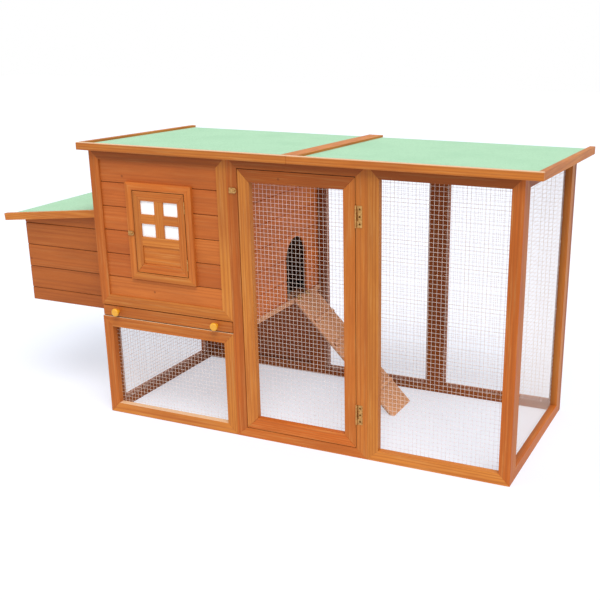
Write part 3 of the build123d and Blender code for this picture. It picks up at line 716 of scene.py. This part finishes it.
def ringVerts(mesh, radius, height, sides):
    # corners about Z; a radius of 0 is one corner, counted as often as a ring has sides
    if radius == 0:
        return [mesh.verts.new((0, 0, height))] * sides
    angles = [2 * math.pi * s / sides for s in range(sides)]
    return [mesh.verts.new((radius * math.cos(angle), radius * math.sin(angle), height))
            for angle in angles]


def around(loop):
    # each corner of a closed loop with the next
    return list(zip(loop, loop[1:] + loop[:1]))


def joinLoops(mesh, loops):
    # a band of faces between each loop and the next, as triangles where a loop is one corner
    for first, second in zip(loops, loops[1:]):
        for (a, b), (c, d) in zip(around(first), around(second)):
            mesh.faces.new(list(dict.fromkeys((a, b, d, c))))


def spin(axis, degrees):
    return Matrix.Rotation(math.radians(degrees), 4, axis)


def at(x, y, z, turn):
    place = turn.copy()
    place.translation = Vector((x, y, z))
    return place


faceFront = spin("X", 90)  # turns +Z to -Y

# wood screw head with a cross recess, about Z, seated at z = 0; dome gives shares of the radius and rise
screwHead = {"radiusMm": 3.0, "riseMm": 0.9, "sinkMm": 0.7, "halfSpanMm": 1.7, "halfSlotMm": 0.55,
             "deepMm": 0.8, "sides": 24, "dome": ((0.62, 1.0), (0.86, 0.72), (1.0, 0.3), (1.0, 0.0))}


def screwHeadMesh():
    keys = ("radiusMm", "riseMm", "sinkMm", "halfSpanMm", "halfSlotMm", "deepMm")
    radius, rise, sink, span, slot, deep = [screwHead[key] * mm for key in keys]
    sides = screwHead["sides"]
    mesh = bmesh.new()
    arm = ((slot, -slot), (span, -slot), (span, slot))
    outline = [Matrix.Rotation(turn * math.pi / 2, 3, "Z") @ Vector((x, y, rise))
               for turn in range(4) for x, y in arm]
    recess = [mesh.verts.new(spot) for spot in outline]
    floor = [mesh.verts.new(spot - Vector((0, 0, deep))) for spot in outline]
    rings = [ringVerts(mesh, radius * share, rise * height, sides) for share, height in screwHead["dome"]]
    rings.append(ringVerts(mesh, 0, -sink, sides))
    rims = [mesh.edges.new(pair) for pair in around(recess) + around(rings[0])]
    bmesh.ops.triangle_fill(mesh, edges=rims, use_beauty=True)
    for face in [face for face in mesh.faces if all(vert in recess for vert in face.verts)]:
        mesh.faces.remove(face)
    joinLoops(mesh, [recess, floor])
    mesh.faces.new(floor)
    joinLoops(mesh, rings)
    bmesh.ops.recalc_face_normals(mesh, faces=mesh.faces)
    data = meshData(mesh, "screwHead")
    shadeSmooth(data, crisp["screw"])
    return data


# screws through the hinge leaves; rows gives each head's share of the way along its leaf, and its turn
doorHinge = {"leaves": "door_hinge_moving_leaves", "leafMm": 72, "outMm": 13.5, "size": 1.15,
             "rows": ((0.16, 20), (0.5, 57), (0.84, 94))}
lidHinge = {"leaves": "lid_hinge_moving_leaves", "leafMm": 50, "outMm": 13.5, "size": 0.85,
            "rows": ((0.16, 15), (0.5, 56), (0.84, 97))}
rampHinge = {"leaves": "ramp_hinge_moving_leaves", "leafMm": 28, "outMm": 11, "size": 0.7,
             "rows": ((0.25, 30), (0.75, 30))}
hingeLeaf = {"barrelMm": 3.4, "gaugeMm": 1.2}  # the barrel's radius and the leaf's thickness
buttonScrew = {"proudMm": 2.5, "turn": 33, "size": 1.1}


def headsAlong(hinge, axis):
    # where along the pin each head of a hinge's two leaves sits, and how it is turned
    low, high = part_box(hinge["leaves"])
    tall = hinge["leafMm"] * mm
    return [(start + share * tall, turn) for start in (low[axis], high[axis] - tall)
            for share, turn in hinge["rows"]]


def doorScrews():
    out = jointAt["run_door_hinge"].x + doorHinge["outMm"] * mm
    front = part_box("door_bay_frame")[0].y - hingeLeaf["gaugeMm"] * mm
    return [at(out, front, height, faceFront @ spin("Z", turn)) for height, turn in headsAlong(doorHinge, 2)]


def leafScrews(joint, hinge, side, degrees):
    # heads on a leaf that runs to one side of a level pin, at a slope
    tilt = spin("Y", degrees)
    drop = (hingeLeaf["barrelMm"] - hingeLeaf["gaugeMm"]) * mm
    spot = jointAt[joint] + tilt @ Vector((side * hinge["outMm"] * mm, 0, -drop))
    return [at(spot.x, along, spot.z, tilt @ spin("Z", turn)) for along, turn in headsAlong(hinge, 1)]


def buttonScrews():
    places = []
    for opening in ("door", "window"):
        pivot = jointAt[opening + "_button_turn"]
        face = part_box(opening + "_turn_button")[0].y - buttonScrew["proudMm"] * mm
        places.append(at(pivot.x, face, pivot.z, faceFront @ spin("Z", buttonScrew["turn"])))
    return places


screwMesh = screwHeadMesh()
screwSets = (  # (piece, its hinge, the body it rides on, its places)
    ("doorHingeScrews", doorHinge, "root", doorScrews()),
    ("lidHingeRailScrews", lidHinge, "root", leafScrews("nest_lid_hinge", lidHinge, 1, slope["lid"])),
    ("lidHingeDeckScrews", lidHinge, "nest_lid", leafScrews("nest_lid_hinge", lidHinge, -1, slope["lid"])),
    ("rampHingeLedgeScrews", rampHinge, "root", leafScrews("ramp_hinge", rampHinge, -1, 0)),
    ("rampHingePlankScrews", rampHinge, "ramp", leafScrews("ramp_hinge", rampHinge, 1, slope["ramp"])),
)
for name, hinge, body, places in screwSets:
    repeatShape(name, screwMesh, places, "brass_hinges", body, hinge["size"], finish="screw_heads")
repeatShape("buttonScrewFaces", screwMesh, buttonScrews(), "brass_buttons", "root", buttonScrew["size"])
print("screws driven")

# turned knobs on the tray: a slim neck, a full shoulder and a nearly flat face, as (radius, height) pairs
knob = {"sides": 36, "profileMm": (
    (0, 0), (7, 0), (7, 4.5), (7.6, 7), (9.6, 9.6), (12.4, 12), (14.4, 14.6), (15, 17.4), (15, 20.2),
    (14.5, 22.2), (13, 23.6), (11, 24), (5, 23.7), (0, 23.6))}


def knobMesh():
    mesh = bmesh.new()
    rings = [ringVerts(mesh, radius * mm, height * mm, knob["sides"]) for radius, height in knob["profileMm"]]
    joinLoops(mesh, rings)
    bmesh.ops.recalc_face_normals(mesh, faces=mesh.faces)
    data = meshData(mesh, "knob")
    shadeSmooth(data, crisp["knob"])
    return data


def knobPlaces():
    low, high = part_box("tray_knobs")
    wide = max(knob["profileMm"])[0] * mm  # the widest point's radius
    middle = (low.z + high.z) / 2
    return [at(x, high.y, middle, faceFront) for x in (low.x + wide, high.x - wide)]


repeatShape("trayKnobs", knobMesh(), knobPlaces(), "yellow_knobs", "tray", replaced=["tray_knobs"])
print("knobs turned")

# wire staples that hold each sheet to its frame
staple = {"crownMm": 9, "wireMm": 1.1, "legMm": 7, "gapMm": 92, "edgeMm": 5, "inwardMm": 2.05}


def stapleMesh():
    mesh = bmesh.new()
    half, wire, leg = staple["crownMm"] / 2 * mm, staple["wireMm"] * mm, staple["legMm"] * mm
    outer = [(-half, -leg), (-half, wire), (half, wire), (half, -leg)]  # across, and out of the wood
    inner = [(-half + wire, -leg), (-half + wire, 0), (half - wire, 0), (half - wire, -leg)]
    sections = [[mesh.verts.new((*spot, z)) for spot, z in
                 ((far, -wire / 2), (far, wire / 2), (near, wire / 2), (near, -wire / 2))]
                for far, near in zip(outer, inner)]
    joinLoops(mesh, sections)
    mesh.faces.new(sections[0])
    mesh.faces.new(sections[-1])
    bmesh.ops.recalc_face_normals(mesh, faces=mesh.faces)
    return meshData(mesh, "staple")


def staplePlaces(node):
    place, width, height = sheetPlace(node)
    edge = staple["edgeMm"] * mm
    spots = []
    for length, other, level in ((width, height, True), (height, width, False)):
        room = length - 2 * edge
        steps = max(2, round(room / (staple["gapMm"] * mm)))
        for step in range(steps + 1):
            run = edge + room * (step + 0.5) / (steps + 1)
            for side in (edge, other - edge):
                spots.append((run, side, 90) if level else (side, run, 0))
    return [place @ at(x, staple["inwardMm"] * mm, z, spin("Y", turn)) for x, z, turn in spots]


stapleShape = stapleMesh()
for node in sheets:
    name = pieceName(node.replace("mesh", "staples"))
    repeatShape(name, stapleShape, staplePlaces(node), "galvanised_mesh", bodyOf[node])
print("staples set")


# the stage: pale floor, soft studio light, the camera

# white acrylic table lit faintly from below, so that shadows on it stay pale; reach in metres
floorLook = {"reach": 14.0, "main": "#B6B9C0", "cloud": "#B2B5BC", "cloudScale": 1.2, "cloudDetail": 2.0,
             "glow": "#E7ECF8", "glowStrength": 0.58, "rough": 0.85, "gloss": 0.1}
# a large softbox high on the right, a weaker one on the left; each is a wide sun, which lights evenly
lights = {  # name: (bearing from +X, height in degrees, width in degrees, strength, colour)
    "keyLight": (-54, 57, 34, 2.35, "#FFFCF8"),
    "fillLight": (-150, 30, 60, 0.45, "#F8FAFF"),
}
lampDistance = 5  # metres; a sun lights the same from any distance
# how bright the white surround looks, and how much light it gives
sky = {"colour": "#FFFFFF", "seen": 1.0, "cast": 0.56}
cameraLook = {"place": (1.7467, -3.2078, 1.5139), "turn": 24.37, "tilt": 70.56, "roll": -0.28, "lens": 59.12,
              "sensor": 36, "shift": (-0.0892, 0.0790)}


def makeStage():
    data = bpy.data.meshes.new("studioFloor")
    reach = floorLook["reach"]
    corners = [(-reach, -reach, 0), (reach, -reach, 0), (reach, reach, 0), (-reach, reach, 0)]
    data.from_pydata(corners, [], [(0, 1, 2, 3)])
    floor = bpy.data.objects.new("studioFloor", data)
    bpy.context.scene.collection.objects.link(floor)
    material, tree, shader = startMaterial(
        "litAcrylicFloor", Roughness=floorLook["rough"], Specular_IOR_Level=floorLook["gloss"],
        Emission_Color=floorLook["glow"], Emission_Strength=floorLook["glowStrength"])
    values = {"Scale": floorLook["cloudScale"], "Detail": floorLook["cloudDetail"]}
    cloud = addNode(tree, "ShaderNodeTexNoise", values, {"Vector": objectPlace(tree)}).outputs["Fac"]
    feed(tree, shader.inputs["Base Color"], mixColour(tree, cloud, floorLook["main"], floorLook["cloud"]))
    data.materials.append(material)


def makeLights():
    for name, (bearing, height, width, strength, colour) in lights.items():
        data = bpy.data.lights.new(name, "SUN")
        data.angle = math.radians(width)
        data.energy = strength
        data.color = linearColour(colour)[:3]
        lamp = bpy.data.objects.new(name, data)
        bearing, height = math.radians(bearing), math.radians(height)
        flat = math.cos(height)
        away = Vector((flat * math.cos(bearing), flat * math.sin(bearing), math.sin(height)))
        lamp.location = away * lampDistance
        lamp.rotation_euler = away.to_track_quat("Z", "Y").to_euler()
        bpy.context.scene.collection.objects.link(lamp)


def makeSky():
    world = bpy.data.worlds.new("studioAir")
    bpy.context.scene.world = world
    world.use_nodes = True
    tree = world.node_tree
    air = tree.nodes["Background"]
    ray = addNode(tree, "ShaderNodeLightPath").outputs
    seen = mathValue(tree, "MAXIMUM", ray["Is Camera Ray"], ray["Is Glossy Ray"])
    feed(tree, air.inputs["Color"], sky["colour"])
    feed(tree, air.inputs["Strength"], mapValue(tree, seen, 0.0, 1.0, sky["cast"], sky["seen"]))


def makeCamera():
    data = bpy.data.cameras.new("photoView")
    data.sensor_width = cameraLook["sensor"]
    data.lens = cameraLook["lens"]
    data.shift_x, data.shift_y = cameraLook["shift"]
    camera = bpy.data.objects.new("photoView", data)
    turn = spin("Z", cameraLook["turn"]) @ spin("X", cameraLook["tilt"]) @ spin("Z", cameraLook["roll"])
    camera.matrix_world = Matrix.Translation(Vector(cameraLook["place"])) @ turn
    bpy.context.scene.collection.objects.link(camera)
    bpy.context.scene.camera = camera


makeStage()
makeLights()
makeSky()
makeCamera()
bpy.context.scene.view_settings.view_transform = "Standard"
print("stage, lights and camera set")
